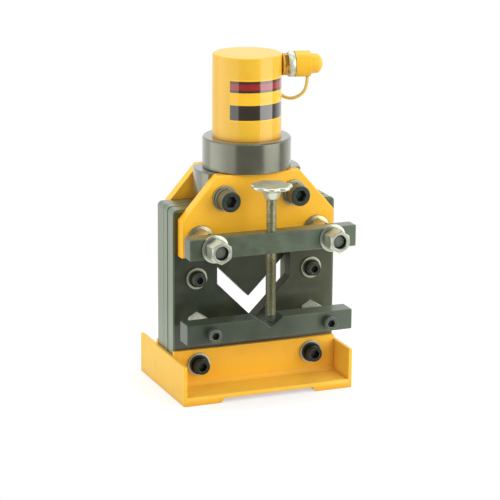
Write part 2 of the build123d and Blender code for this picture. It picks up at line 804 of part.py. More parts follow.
save("clamp_knob", clamp_knob())
save("clamp_studs", clamp_studs())
save("bar_nuts", bar_nuts())
save("plate_collar_nuts", plate_collar_nuts())
save("bar_jam_nuts", bar_jam_nuts())
save("rear_stud_washers", rear_stud_washers())
save("rear_stud_nuts", rear_stud_nuts())
save("rest_bar_screws", rest_bar_screws())
save("rest_bar_spacers", rest_bar_spacers())
save("plate_bolts", plate_bolts())
save("plate_bolt_washers", plate_bolt_washers())
save("base_bolts_front", base_bolts(-1))
save("base_bolts_rear", base_bolts(1))
save("base_bolt_washers", base_bolt_washers())
save("head_bolts_front", head_bolts(-1))
save("head_bolts_rear", head_bolts(1))
save("collar_bolts", collar_bolts())
save("head_flat_washers", head_flat_washers())
save("head_spring_washers", head_spring_washers())
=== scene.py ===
"""Looks of a hydraulic angle-steel cutter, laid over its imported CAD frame. All sizes in metres."""

import json
import math

import bmesh
import bpy
from mathutils import Matrix, Vector


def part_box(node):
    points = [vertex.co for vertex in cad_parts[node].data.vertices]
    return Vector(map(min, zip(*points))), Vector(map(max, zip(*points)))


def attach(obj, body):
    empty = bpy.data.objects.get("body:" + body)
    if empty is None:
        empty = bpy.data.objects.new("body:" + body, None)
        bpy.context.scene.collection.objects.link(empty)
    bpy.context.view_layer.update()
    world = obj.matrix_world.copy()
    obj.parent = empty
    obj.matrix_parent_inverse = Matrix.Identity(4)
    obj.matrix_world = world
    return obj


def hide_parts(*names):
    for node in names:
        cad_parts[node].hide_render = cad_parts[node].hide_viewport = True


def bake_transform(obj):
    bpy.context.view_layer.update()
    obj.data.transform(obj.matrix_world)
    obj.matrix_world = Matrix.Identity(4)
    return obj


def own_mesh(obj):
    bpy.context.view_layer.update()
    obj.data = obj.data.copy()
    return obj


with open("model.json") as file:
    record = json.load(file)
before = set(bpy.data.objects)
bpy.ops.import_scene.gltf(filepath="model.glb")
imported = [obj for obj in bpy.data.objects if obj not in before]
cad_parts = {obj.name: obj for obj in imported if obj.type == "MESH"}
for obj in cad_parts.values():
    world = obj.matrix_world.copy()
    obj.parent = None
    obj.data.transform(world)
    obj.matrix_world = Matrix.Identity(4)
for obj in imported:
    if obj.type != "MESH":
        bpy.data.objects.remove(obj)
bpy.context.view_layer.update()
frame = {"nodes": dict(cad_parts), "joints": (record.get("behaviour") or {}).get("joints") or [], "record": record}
scene = bpy.context.scene
scene.view_settings.view_transform = "Standard"

# Places, read from the frame

MIDDLE_Y = (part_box("front_plate")[0].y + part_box("rear_plate")[1].y) / 2
SCREW_LOW, SCREW_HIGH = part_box("clamp_screw")
TIP_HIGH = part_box("clamp_tip")[1]
STUD_LOW, STUD_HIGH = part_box("clamp_studs")

SCREW_RADIUS, SCREW_PITCH = 0.007, 0.002
STUD_RADIUS, STUD_PITCH = 0.009, 0.0025
THREAD_DEPTH = 0.613              # of the pitch
THREAD_STEPS = 28                 # round one turn
WELD = 1e-6

UP = Vector((0, 0, 1))
INLET_TURN = math.radians(11.5)   # from the right, towards the front
INLET_OUT = Vector((math.cos(INLET_TURN), -math.sin(INLET_TURN), 0))
INLET_BACK = UP.cross(INLET_OUT)
INLET_MIDDLE = Vector((0, MIDDLE_Y, sum(corner.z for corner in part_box("coupler_body")) / 2))
GRIP_STATIONS, GRIP_RADIUS = (0.0538, 0.0628), 0.017
GRIP_RIBS, GRIP_RIB_DEPTH = 72, 0.00035
GRIP_CHAMFERS = (0.0018, 0.0006)  # at the back and the front
NOSE_END, NOSE_RADIUS, NOSE_PITCH = 0.0802, 0.012, 0.0015
NOSE_CHAMFER = (0.0006, 0.001)    # inwards and along
VALVE_BORE = 0.00455
EYE_STATIONS, EYE_RADII, EYE_ROUND = (0.0460, 0.0490), (0.00955, 0.0148), 0.0008

# The strap's route: out along the inlet, towards the back, up from the inlet's axis
STRAP_RADIUS = 0.0022
STRAP_ROUTE = [
    (0.0469, 0.0115, -0.0040),
    (0.0442, 0.0204, -0.0140),
    (0.0444, 0.0208, -0.0340),
    (0.0500, 0.0168, -0.0465),
    (0.0630, 0.0075, -0.0485),
    (0.0760, 0.0020, -0.0405),
    (0.0809, 0.0000, -0.0280),
    (0.0809, 0.0000, -0.0175),
]


def on_inlet(station, back=0.0, up=0.0):
    """A point given by its distance out along the oil inlet, towards the back and up."""
    return INLET_MIDDLE + station * INLET_OUT + back * INLET_BACK + up * UP


INLET_AXES = Matrix((INLET_BACK, UP, INLET_OUT)).transposed().to_4x4()
INLET_AXES.translation = INLET_MIDDLE

# Shader nodes as expressions


def srgb(red, green, blue):
    """A colour given as it looks on a screen, 0 to 255, as the shader's linear values."""
    def linear(value):
        value /= 255
        return value / 12.92 if value <= 0.04045 else ((value + 0.055) / 1.055) ** 2.4
    return (linear(red), linear(green), linear(blue), 1.0)


class Socket:
    """A node's output. Arithmetic on it adds Math nodes to its finish."""

    def __init__(self, finish, end):
        self.finish, self.end = finish, end

    def math(self, operation, *values):
        return self.finish.node("ShaderNodeMath", {"operation": operation}, dict(enumerate(values)))

    def __add__(self, other):
        return self.math("ADD", self, other)

    def __radd__(self, other):
        return self.math("ADD", other, self)

    def __sub__(self, other):
        return self.math("SUBTRACT", self, other)

    def __rsub__(self, other):
        return self.math("SUBTRACT", other, self)

    def __mul__(self, other):
        return self.math("MULTIPLY", self, other)

    def __rmul__(self, other):
        return self.math("MULTIPLY", other, self)

    def __pow__(self, other):
        return self.math("POWER", self, other)

    def __abs__(self):
        return self.math("ABSOLUTE", self)


class Finish:
    """A node tree with the few building blocks that the finishes share."""

    def __init__(self, owner):
        owner.use_nodes = True
        self.owner = owner
        self.tree = owner.node_tree
        self.tree.nodes.clear()

    def node(self, kind, settings=None, sockets=None, output=0):
        made = self.tree.nodes.new(kind)
        for name, value in (settings or {}).items():
            setattr(made, name, value)
        for name, value in (sockets or {}).items():
            if isinstance(value, Socket):
                self.tree.links.new(value.end, made.inputs[name])
            else:
                made.inputs[name].default_value = value
        return Socket(self, made.outputs[output]) if made.outputs else None

    def place(self, stretch=(1, 1, 1)):
        """Object coordinates in metres, closer together along a stretched axis."""
        coordinates = self.node("ShaderNodeTexCoord", output="Object")
        return self.node("ShaderNodeMapping", sockets={"Vector": coordinates, "Scale": stretch})

    def axes(self):
        """X, Y and Z of the place, each by itself."""
        split = self.node("ShaderNodeSeparateXYZ", sockets={"Vector": self.place()})
        return [Socket(self, end) for end in split.end.node.outputs]

    def noise(self, scale, detail=3, stretch=(1, 1, 1)):
        place = self.place(stretch)
        sockets = {"Vector": place, "Scale": scale, "Detail": detail, "Roughness": 0.55}
        return self.node("ShaderNodeTexNoise", sockets=sockets)

    def ramp(self, value, low, high):
        """0 below low and 1 above high, with a smooth step between them."""
        sockets = {"Value": value, "From Min": low, "From Max": high}
        return self.node("ShaderNodeMapRange", {"interpolation_type": "SMOOTHSTEP"}, sockets)

    def band(self, value, low, high, soft):
        """1 between low and high, 0 outside, with soft edges."""
        past_high = self.ramp(value, high - soft, high + soft)
        return self.ramp(value, low - soft, low + soft) * (1 - past_high)

    def mix(self, factor, first, second):
        sockets = {0: factor, 6: first, 7: second}
        return self.node("ShaderNodeMix", {"data_type": "RGBA"}, sockets, output=2)

    def soft_normal(self, radius):
        """The normal with a piece's edges rounded off."""
        return self.node("ShaderNodeBevel", {"samples": 6}, {"Radius": radius})

    def edges(self, normal, full=0.2):
        """1 along a piece's edges and 0 on its flats, from its rounded normal.

        A lower full takes in blunter edges.
        """
        true = self.node("ShaderNodeNewGeometry", output="Normal")
        sockets = {0: normal, 1: true}
        along = self.node("ShaderNodeVectorMath", {"operation": "DOT_PRODUCT"}, sockets, "Value")
        return self.ramp(1 - along, 0.01, full)

    def corners(self, reach, full=0.6):
        """1 in corners and grooves, for painted shade where a corner shuts out light and for the oil and dust that
        collect there, and 0 on open faces.

        Full is the share of the view that a corner shuts out, within its reach.
        """
        clear = self.node("ShaderNodeAmbientOcclusion", {"samples": 8}, {"Distance": reach}, "AO")
        return self.ramp(1 - clear, 0.2 * full, full)

    def facing(self, axis):
        """How far a face looks along an axis, from -1 to 1."""
        normal = self.node("ShaderNodeNewGeometry", output="Normal")
        return self.node("ShaderNodeSeparateXYZ", sockets={"Vector": normal}, output=axis)

    def off_front(self):
        """1 on faces that look up, down or sideways, 0 on those that face the front or the back."""
        return 1 - self.ramp(abs(self.facing("Y")), 0.3, 0.7)

    def looking_up(self):
        """1 on faces that look up, to be painted paler as light from above."""
        return self.ramp(self.facing("Z"), 0.6, 0.9)

    def rays(self, *kinds):
        """1 for rays of the given kinds, such as Camera or Glossy."""
        path = self.node("ShaderNodeLightPath").end.node.outputs
        return sum(Socket(self, path[f"Is {kind} Ray"]) for kind in kinds)

    def bump(self, height, distance, normal=None, strength=1.0):
        sockets = {"Height": height, "Distance": distance, "Strength": strength}
        if normal:
            sockets["Normal"] = normal
        return self.node("ShaderNodeBump", sockets=sockets)

    def surface(self, **sockets):
        """The finished material, its shader's sockets given by their names in small letters."""
        named = {}
        for name, value in sockets.items():
            named[name.replace("_", " ").title().replace("Ior", "IOR")] = value
        shader = self.node("ShaderNodeBsdfPrincipled", sockets=named)
        self.node("ShaderNodeOutputMaterial", sockets={"Surface": shader})
        return self.owner


def finish(name):
    """An empty finish on a new material."""
    return Finish(bpy.data.materials.new(name))


# Finishes


# Where the enamel is painted paler, as painted light in the tray: its floor and its right end
TRAY_HALF_X, TRAY_CORNER_X = 0.1157, (0.06, 0.11)
TRAY_FLOOR_Z, TRAY_TOP_Z = (0.0065, 0.013), 0.057


def enamel(coat, deep, pale):
    """Colour, roughness and normal of chrome-yellow enamel between two shades.

    It is paler on the tray's floor and at its right end and on faces that look up, all painted light, and darker
    in its corners, painted shade in grimy corners.
    """
    soft = coat.soft_normal(0.0009)
    x, _, z = coat.axes()
    tray = coat.band(x, -TRAY_HALF_X, TRAY_HALF_X, 0.0003)
    low = coat.band(z, *TRAY_FLOOR_Z, 0.0004)
    corner = coat.ramp(x, *TRAY_CORNER_X) * coat.band(z, TRAY_FLOOR_Z[0], TRAY_TOP_Z, 0.002)
    smear = coat.ramp(coat.noise(38, 5), 0.52, 0.75)
    colour = coat.mix(coat.noise(11, 2), deep, pale)
    colour = coat.mix(smear * 0.3, colour, srgb(226, 148, 22))
    # painted light: the tray's floor and its right-hand corner made paler
    colour = coat.mix(tray * (0.35 * low + 0.45 * corner), colour, srgb(255, 205, 84))
    # painted light from above: faces that look up made paler
    colour = coat.mix(coat.looking_up() * 0.35, colour, srgb(255, 206, 78))
    colour = coat.mix(coat.edges(soft) * 0.45, colour, srgb(250, 212, 110))
    # painted shade in grimy corners: the enamel darkened towards reddish brown
    colour = coat.mix(coat.corners(0.012) * 0.38, colour, srgb(196, 108, 54))
    roughness = 0.3 + 0.16 * coat.noise(60, 4)
    peel = coat.noise(620, 2)
    return colour, roughness, coat.bump(peel, 0.00012, soft, 0.5)


def yellow_enamel(name, deep, pale):
    """Enamel of the base and the head plates."""
    coat = finish(name)
    colour, roughness, normal = enamel(coat, deep, pale)
    return coat.surface(
        base_color=colour, roughness=roughness, normal=normal, specular_ior_level=0.3,
        coat_weight=0.1, coat_roughness=0.1,
    )


LABEL_ARC = (math.radians(-51), math.radians(75))   # from the front, positive to the right
LABEL_Z = (0.364, 0.4205)
RED_BAND_Z, DARK_BAND_Z = (0.4028, 0.418), (0.3664, 0.3862)
RED_STRIPE_IN = 0.0036                              # from the red band's edges


def labelled_enamel():
    """The barrel's enamel under a bare film label with a red and a dark band."""
    coat = finish("labelled_enamel")
    colour, roughness, normal = enamel(coat, srgb(216, 166, 34), srgb(224, 178, 44))
    x, y, z = coat.axes()
    around = x.math("ARCTAN2", x, MIDDLE_Y - y)
    film = coat.band(around, *LABEL_ARC, 0.006) * coat.band(z, *LABEL_Z, 0.0002)
    red = film * coat.band(z, *RED_BAND_Z, 0.0003)
    stripe_z = (RED_BAND_Z[0] + RED_STRIPE_IN, RED_BAND_Z[1] - RED_STRIPE_IN)
    stripe = film * coat.band(z, *stripe_z, 0.0006)
    dark = film * coat.band(z, *DARK_BAND_Z, 0.0003)
    fade = coat.noise(45, 4)
    colour = coat.mix(film, colour, coat.mix(fade, srgb(230, 174, 36), srgb(238, 186, 46)))
    colour = coat.mix(red, colour, coat.mix(fade, srgb(52, 30, 22), srgb(70, 40, 28)))
    colour = coat.mix(stripe, colour, coat.mix(fade, srgb(132, 22, 22), srgb(156, 32, 32)))
    colour = coat.mix(dark, colour, coat.mix(fade, srgb(38, 32, 20), srgb(54, 46, 32)))
    roughness = film * (0.14 + 0.06 * fade) + (1 - film) * roughness
    normal = coat.bump(film, 0.00015, normal)
    return coat.surface(
        base_color=colour, roughness=roughness, normal=normal, specular_ior_level=0.3,
        coat_weight=0.3 + 0.7 * (red + dark), coat_roughness=0.08, coat_ior=1.85,
    )


OIL_TINT = (0.92, 1, 0.88, 1)
OPENING_HALF_X, OPENING_Z = 0.0645, (0.058, 0.196)
DIE_BACK_Y = (MIDDLE_Y - 0.0105, MIDDLE_Y - 0.0085)
STACK_SIDE_X, STACK_TOP_Z = (0.112, 0.113), (0.2475, 0.2485)
FRONT_SEAM_Y = (MIDDLE_Y - 0.0104, MIDDLE_Y - 0.0078)
REAR_SEAM_Y = (MIDDLE_Y + 0.0054, MIDDLE_Y + 0.0066)


def blackened_steel():
    """Thick plate under black scale and oil.

    It has grinding lines, a brown bloom to the right, bare cut edges with painted shade on the flanks in front of
    the die's back, and painted shade in the stack's seams, which are dirty too.
    """
    scale = finish("blackened_steel")
    x, y, z = scale.axes()
    soft = scale.soft_normal(0.0007)
    cloud = scale.noise(26, 6)
    lines = scale.noise(240, 4, (0.12, 1, 2.4))
    bloom = scale.ramp(scale.noise(17, 5), 0.45, 0.72) * 0.35 + scale.ramp(x, 0.01, 0.13) * 0.6
    colour = scale.mix(scale.ramp(cloud, 0.3, 0.7), srgb(29, 35, 25), srgb(46, 53, 40))
    colour = scale.mix(bloom, colour, srgb(94, 91, 69))
    worn = scale.edges(soft) * scale.ramp(cloud, 0.35, 0.6)
    colour = scale.mix(worn, colour, srgb(150, 156, 140))
    opening = scale.band(x, -OPENING_HALF_X, OPENING_HALF_X, 0.0004) * scale.band(z, *OPENING_Z, 0.001)
    cut = opening * scale.off_front()
    # painted shade: the cut flanks darker in front of the die's back, paler behind it
    flank_with_painted_shade = scale.mix(scale.ramp(y, *DIE_BACK_Y), srgb(78, 79, 62), srgb(116, 118, 100))
    colour = scale.mix(cut, colour, flank_with_painted_shade)
    outside = scale.ramp(abs(x), *STACK_SIDE_X) + scale.ramp(z, *STACK_TOP_Z)
    outside = outside.math("MINIMUM", outside, 1.0)
    colour = scale.mix(outside * 0.8, colour, scale.mix(cloud, srgb(84, 96, 72), srgb(104, 116, 90)))
    seams = scale.band(y, *FRONT_SEAM_Y, 0.0006) + scale.band(y, *REAR_SEAM_Y, 0.0003)
    # painted shade in the stack's seam grooves, which are dirty too
    seam_shade_and_dirt = outside * seams
    colour = scale.mix(seam_shade_and_dirt, colour, srgb(36, 44, 32))
    dull = cut + 0.7 * seam_shade_and_dirt
    roughness = 0.22 + 0.16 * cloud + 0.08 * lines + 0.3 * dull
    normal = scale.bump(lines, 0.00004, soft, 0.5)
    return scale.surface(
        base_color=colour, roughness=roughness, metallic=0.2, normal=normal, specular_ior_level=0.5,
        coat_weight=0.85 - 0.85 * dull, coat_roughness=0.2, coat_tint=OIL_TINT,
    )


BETWEEN_BARS_Z = (0.13, 0.15)


def scaled_bar():
    """The hold-down's two bars: hot-rolled, with a grey-green scale, ground lengthways.

    The lower bar is darker, a painted shade, and both are paler to the right.
    """
    scale = finish("scaled_bar")
    soft = scale.soft_normal(0.0008)
    cloud = scale.noise(34, 6)
    lines = scale.noise(260, 4, (0.1, 1, 2.6))
    rust = scale.ramp(scale.noise(21, 5), 0.52, 0.75)
    x, _, z = scale.axes()
    # painted shade: the lower bar made darker than the upper
    lower = 1 - scale.ramp(z, *BETWEEN_BARS_Z)
    colour = scale.mix(scale.ramp(cloud, 0.3, 0.7), srgb(70, 81, 62), srgb(92, 104, 84))
    colour = scale.mix(lower * 0.66, colour, srgb(34, 44, 28))
    colour = scale.mix(scale.ramp(x, 0.0, 0.09) * 0.35, colour, srgb(122, 136, 116))
    colour = scale.mix(rust * 0.35, colour, srgb(92, 82, 62))
    worn = scale.edges(soft) * scale.ramp(cloud, 0.35, 0.6)
    colour = scale.mix(worn, colour, srgb(160, 168, 150))
    roughness = 0.26 + 0.14 * cloud + 0.08 * lines
    normal = scale.bump(lines, 0.00005, soft, 0.5)
    return scale.surface(
        base_color=colour, roughness=roughness, metallic=0.25, normal=normal,
        specular_ior_level=0.5, coat_weight=0.4, coat_roughness=0.22,
    )


def turned_black():
    """Blackened collar and head block: turned, oiled and shinier than the plates."""
    black = finish("turned_black")
    soft = black.soft_normal(0.0008)
    cloud = black.noise(30, 4)
    lines = black.noise(420, 3, (0.15, 0.15, 2.0))
    colour = black.mix(cloud, srgb(98, 99, 82), srgb(122, 123, 104))
    colour = black.mix(black.edges(soft) * 0.7, colour, srgb(160, 164, 150))
    normal = black.bump(lines, 0.00002, soft, 0.4)
    return black.surface(
        base_color=colour, roughness=0.2 + 0.1 * cloud, metallic=0.65, normal=normal,
        specular_ior_level=0.8, coat_weight=0.9, coat_roughness=0.16,
    )


def black_oxide(name, deep, pale, rim=0.0006, worn=0.2, knurl_sheen=0.0, oil=0.85):
    """Oiled black oxide of the screws and studs.

    It is paler round their knurled heads, a painted sheen, and at their worn rims, and black in their sockets, a
    painted shade with oil.
    """
    oxide = finish(name)
    soft = oxide.soft_normal(rim)
    cloud = oxide.noise(120, 4)
    colour = oxide.mix(cloud, deep, pale)
    # painted sheen: the heads' knurled sides made paler, as if catching light
    colour = oxide.mix(oxide.off_front() * knurl_sheen, colour, srgb(150, 142, 118))
    colour = oxide.mix(oxide.edges(soft, worn) * 0.8, colour, srgb(166, 170, 156))
    # painted shade with oil: corners and sockets darkened nearly to black
    colour = oxide.mix(oxide.corners(0.008) * oil, colour, srgb(10, 16, 11))
    normal = oxide.bump(oxide.noise(1500, 2), 0.00003, soft, 0.4)
    return oxide.surface(
        base_color=colour, roughness=0.34 + 0.16 * cloud, metallic=0.5, normal=normal,
        specular_ior_level=0.4, coat_weight=0.2, coat_roughness=0.25,
    )


def zinc_plate(name, deep, pale, dull, rim=0.0006, metal=1.0, shade_and_grime=(0.006, 0.6, 0.75)):
    """Zinc plate between two shades: fine scratches, a painted highlight on the rim and painted shade in the grimy
    corners.

    The corner shade is given as the corners' reach, how shut in a corner is to hold all of it, and its share
    there.
    """
    zinc = finish(name)
    soft = zinc.soft_normal(rim)
    cast = zinc.noise(55, 3)
    scratch = zinc.ramp(zinc.noise(700, 4, (1, 0.2, 0.2)), 0.6, 0.75)
    colour = zinc.mix(cast, deep, pale)
    colour = zinc.mix(scratch * 0.2, colour, srgb(150, 152, 138))
    # painted highlight: the rim made bright along the rounded edges
    colour = zinc.mix(zinc.edges(soft) * 0.7, colour, srgb(236, 238, 226))
    reach, full, share = shade_and_grime
    # painted shade in the corners, which are grimy too
    colour = zinc.mix(zinc.corners(reach, full) * share, colour, srgb(64, 68, 51))
    roughness = dull + 0.12 * cast + 0.06 * scratch
    normal = zinc.bump(zinc.noise(1600, 2), 0.00001, soft, 0.3)
    return zinc.surface(base_color=colour, roughness=roughness, metallic=metal, normal=normal)


SCREW_SHADE_Z = (0.186, 0.2)       # painted shade on the hand screw below the upper bar


def oiled_steel():
    """Turned steel, such as the hand screw's, with patches of old oil and a painted shade below the upper bar."""
    steel = finish("oiled_steel")
    cloud = steel.noise(70, 5)
    oil = steel.ramp(steel.noise(160, 4), 0.45, 0.7)
    colour = steel.mix(cloud, srgb(188, 184, 154), srgb(214, 210, 180))
    colour = steel.mix(oil * 0.3, colour, srgb(122, 112, 84))
    _, _, z = steel.axes()
    # painted shade: the screw darkened below the upper bar
    dull = 0.75 - 0.75 * steel.ramp(z, *SCREW_SHADE_Z)
    colour = steel.mix(dull, colour, srgb(140, 143, 118))
    return steel.surface(base_color=colour, roughness=0.34 + 0.16 * cloud, metallic=1.0)


def tool_steel():
    """Hardened blade, ground across its flats."""
    steel = finish("tool_steel")
    soft = steel.soft_normal(0.0004)
    lines = steel.noise(320, 5, (0.1, 1, 3.0))
    cloud = steel.noise(30, 5)
    colour = steel.mix(cloud, srgb(66, 72, 59), srgb(90, 96, 81))
    colour = steel.mix(steel.edges(soft) * 0.8, colour, srgb(160, 164, 150))
    normal = steel.bump(lines, 0.00005, soft, 0.5)
    return steel.surface(base_color=colour, roughness=0.28 + 0.14 * lines, metallic=0.7, normal=normal)


def hard_chrome():
    """Ground and chromed rod, with fine lines round it and a film of oil."""
    chrome = finish("hard_chrome")
    lines = chrome.noise(300, 4, (0.2, 0.2, 6))
    film = chrome.noise(40, 3)
    colour = chrome.mix(film, srgb(200, 202, 204), srgb(222, 223, 222))
    normal = chrome.bump(lines, 0.00002, strength=0.4)
    return chrome.surface(base_color=colour, roughness=0.08 + 0.1 * film, metallic=1.0, normal=normal)


def turned_brass():
    """Brass with turning marks and a dull brown bloom."""
    brass = finish("turned_brass")
    soft = brass.soft_normal(0.0004)
    bloom = brass.ramp(brass.noise(140, 5), 0.4, 0.75)
    colour = brass.mix(bloom, srgb(240, 188, 86), srgb(208, 152, 62))
    lines = brass.noise(900, 3, (1, 1, 0.2))
    normal = brass.bump(lines, 0.00003, soft, 0.5)
    return brass.surface(base_color=colour, roughness=0.3 + 0.16 * bloom, metallic=1.0, normal=normal)


def seal_rubber():
    """Moulded rubber of the piston's seal and the rod's wiper."""
    rubber = finish("seal_rubber")
    grain = rubber.noise(1400, 3)
    colour = rubber.mix(grain, srgb(28, 28, 27), srgb(46, 46, 44))
    normal = rubber.bump(grain, 0.00005, strength=0.5)
    return rubber.surface(base_color=colour, roughness=0.6 + 0.15 * grain, normal=normal)


def moulded_plastic(name, deep, pale):
    """Moulded plastic: faint flow marks, a fine matt grain and soft corners."""
    plastic = finish(name)
    soft = plastic.soft_normal(0.0006)
    flow = plastic.noise(55, 4, (1, 1, 0.4))
    colour = plastic.mix(flow, deep, pale)
    grain = plastic.noise(1800, 2)
    normal = plastic.bump(grain, 0.00003, soft, 0.6)
    return plastic.surface(
        base_color=colour, roughness=0.3 + 0.12 * flow, normal=normal,
        subsurface_weight=0.08, subsurface_radius=(0.002, 0.001, 0.0004),
    )


FINISHES = {
    "yellow_paint": yellow_enamel("yellow_enamel", srgb(242, 176, 37), srgb(246, 189, 47)),
    "blackened_steel": blackened_steel(),
    "black_oxide": black_oxide("black_oxide", srgb(38, 50, 41), srgb(62, 74, 64), knurl_sheen=0.45),
    "zinc": zinc_plate(
        "zinc_plate", srgb(198, 204, 184), srgb(220, 225, 207), 0.26, metal=0.86, shade_and_grime=(0.012, 0.3, 0.9),
    ),
    "dark_steel": oiled_steel(),
    "tool_steel": tool_steel(),
    "hard_chrome": hard_chrome(),
    "brass": turned_brass(),
    "seal_rubber": seal_rubber(),
    "yellow_plastic": moulded_plastic("yellow_plastic", srgb(224, 166, 20), srgb(234, 184, 34)),
}
SATIN_ZINC = zinc_plate("satin_zinc", srgb(206, 210, 188), srgb(226, 229, 209), 0.32, metal=0.7)
KNOB_ZINC = zinc_plate(
    "knob_zinc", srgb(210, 214, 192), srgb(230, 233, 213), 0.27, metal=0.7, shade_and_grime=(0.008, 0.6, 0.8),
)
WASHER_ZINC = zinc_plate("washer_zinc", srgb(192, 196, 172), srgb(214, 216, 192), 0.3, metal=0.88)
WARM_ZINC = zinc_plate("warm_zinc", srgb(188, 182, 146), srgb(208, 203, 168), 0.34)
DARK_OXIDE = black_oxide("dark_oxide", srgb(20, 26, 20), srgb(38, 45, 38))
PLATE_OXIDE = black_oxide(
    "plate_oxide", srgb(34, 43, 35), srgb(58, 68, 59), rim=0.0012, worn=0.08, knurl_sheen=0.3,
)
WORN_OXIDE = black_oxide("worn_oxide", srgb(62, 71, 62), srgb(88, 98, 88), rim=0.0015, worn=0.04)
PALE_OXIDE = black_oxide("pale_oxide", srgb(92, 100, 88), srgb(124, 130, 116), oil=0.3)
# painted highlight: the spacers' zinc made pale and diffuse, a lit copy of the zinc
SPACER_ZINC_PAINTED_LIGHT = zinc_plate(
    "zinc_painted_light", srgb(232, 236, 216), srgb(246, 248, 234), 0.22,
    rim=0.0011, metal=0.35, shade_and_grime=(0.003, 0.8, 0.3),
)
# painted shade: the strap's eye a darker, more orange copy of the strap's plastic
EYE_PLASTIC_PAINTED_SHADE = moulded_plastic("eye_plastic_painted_shade", srgb(206, 146, 46), srgb(222, 164, 62))
STRAP_FINISH = moulded_plastic("strap_plastic", srgb(206, 176, 76), srgb(226, 200, 104))


def dress_nodes():
    """Every CAD node takes the finish of its slot, apart from a few with their own."""
    bar, turned = scaled_bar(), turned_black()
    own_finish = {
        "base_side_left": yellow_enamel("side_enamel", srgb(234, 180, 38), srgb(239, 192, 48)),
        "cylinder_barrel": labelled_enamel(),
        "cylinder_collar": turned,
        "head_block": turned,
        "upper_clamp_bar": bar,
        "lower_rest_bar": bar,
        "rest_bar_spacers": SPACER_ZINC_PAINTED_LIGHT,
        "plate_collar_nuts": WARM_ZINC,
        "clamp_tip": FINISHES["black_oxide"],
        "rest_bar_screws": WORN_OXIDE,
        "plate_bolts": PLATE_OXIDE,
        "base_bolts_front": DARK_OXIDE,
        "base_bolts_rear": DARK_OXIDE,
    }
    for node in frame["nodes"]:
        if node.endswith("_washers"):
            own_finish[node] = WASHER_ZINC
    for part in frame["record"]["subparts"]:
        material = own_finish.get(part["node"], FINISHES[part["material_slot"]])
        for slot in frame["nodes"][part["node"]].material_slots:
            slot.material = material


# Pieces made here


def weld(bm):
    bmesh.ops.remove_doubles(bm, verts=bm.verts, dist=WELD)


def add_piece(name, bm, slot, material=None, smooth=40):
    """A finished mesh object, smooth except at edges sharper than an angle in degrees."""
    weld(bm)
    bmesh.ops.recalc_face_normals(bm, faces=bm.faces)
    mesh = bpy.data.meshes.new(name)
    bm.to_mesh(mesh)
    bm.free()
    mesh.shade_smooth()
    mesh.set_sharp_from_angle(angle=math.radians(smooth))
    mesh.materials.append(material or FINISHES[slot])
    piece = bpy.data.objects.new(name, mesh)
    scene.collection.objects.link(piece)
    return piece


def verts_in(made):
    """The vertices among what an operator made."""
    return [item for item in made["geom"] if isinstance(item, bmesh.types.BMVert)]


def chain(bm, outline, closed=False):
    """Vertices and edges through (radius, height) points on the right of the Z axis."""
    verts = [bm.verts.new((radius, 0, height)) for radius, height in outline]
    following = verts[1:] + verts[:1] if closed else verts[1:]
    return verts, [bm.edges.new(pair) for pair in zip(verts, following)]


def cut_thread(bm, radius, pitch, low, high):
    """A right-hand thread along Z, chamfered to its root at both ends and open there; gives the root."""
    root = radius - THREAD_DEPTH * pitch
    first = low - pitch
    foot, crest_low, crest_high = first + pitch / 4, first + pitch * 9 / 16, first + pitch * 11 / 16
    outline = [(root, first), (root, foot), (radius, crest_low), (radius, crest_high), (root, low)]
    verts, edges = chain(bm, outline)
    climb = UP * (pitch / THREAD_STEPS)
    bmesh.ops.spin(bm, geom=verts + edges, axis=UP, dvec=climb, angle=2 * math.pi, steps=THREAD_STEPS)
    first_turn = bm.verts[:] + bm.edges[:] + bm.faces[:]
    for turn in range(1, math.ceil((high - low) / pitch) + 2):
        copy = verts_in(bmesh.ops.duplicate(bm, geom=first_turn))
        bmesh.ops.translate(bm, verts=copy, vec=UP * (pitch * turn))
    weld(bm)
    for end, outwards in ((low, -UP), (high, UP)):
        everything = bm.verts[:] + bm.edges[:] + bm.faces[:]
        bmesh.ops.bisect_plane(bm, geom=everything, plane_co=UP * end, plane_no=outwards, clear_outer=True)
    for vert in bm.verts:
        allowed = root + min(vert.co.z - low, high - vert.co.z)
        across = vert.co.xy.length
        if across > allowed:
            vert.co.xy *= allowed / across
    return root


def join(bm, other):
    """Moves what another bmesh holds into this one."""
    mesh = bpy.data.meshes.new("joined")
    other.to_mesh(mesh)
    other.free()
    bm.from_mesh(mesh)
    bpy.data.meshes.remove(mesh)


def close_ends(bm):
    """Fills every open rim with a face."""
    bmesh.ops.holes_fill(bm, edges=[edge for edge in bm.edges if edge.is_boundary])


def open_rim(bm, height):
    """The open edges that lie at a height."""
    return [
        edge for edge in bm.edges
        if edge.is_boundary and all(abs(vert.co.z - height) < WELD for vert in edge.verts)
    ]


def draw_rim(bm, height, radius, new_height):
    """Carries the open edges at a height on to a circle of another radius and height."""
    for vert in verts_in(bmesh.ops.extrude_edge_only(bm, edges=open_rim(bm, height))):
        vert.co.xy *= radius / vert.co.xy.length
        vert.co.z = new_height


def lathe(bm, outline, segments=64):
    """Turns an outline of (radius, height) points about Z and returns its vertices."""
    verts, edges = chain(bm, outline)
    before = set(bm.verts)
    bmesh.ops.spin(bm, geom=verts + edges, axis=UP, angle=2 * math.pi, steps=segments, use_merge=True)
    return verts + [vert for vert in bm.verts if vert not in before]


NECK_STEP, FOOT_GAP, SCREW_TOP = 0.003, 0.0003, 0.001


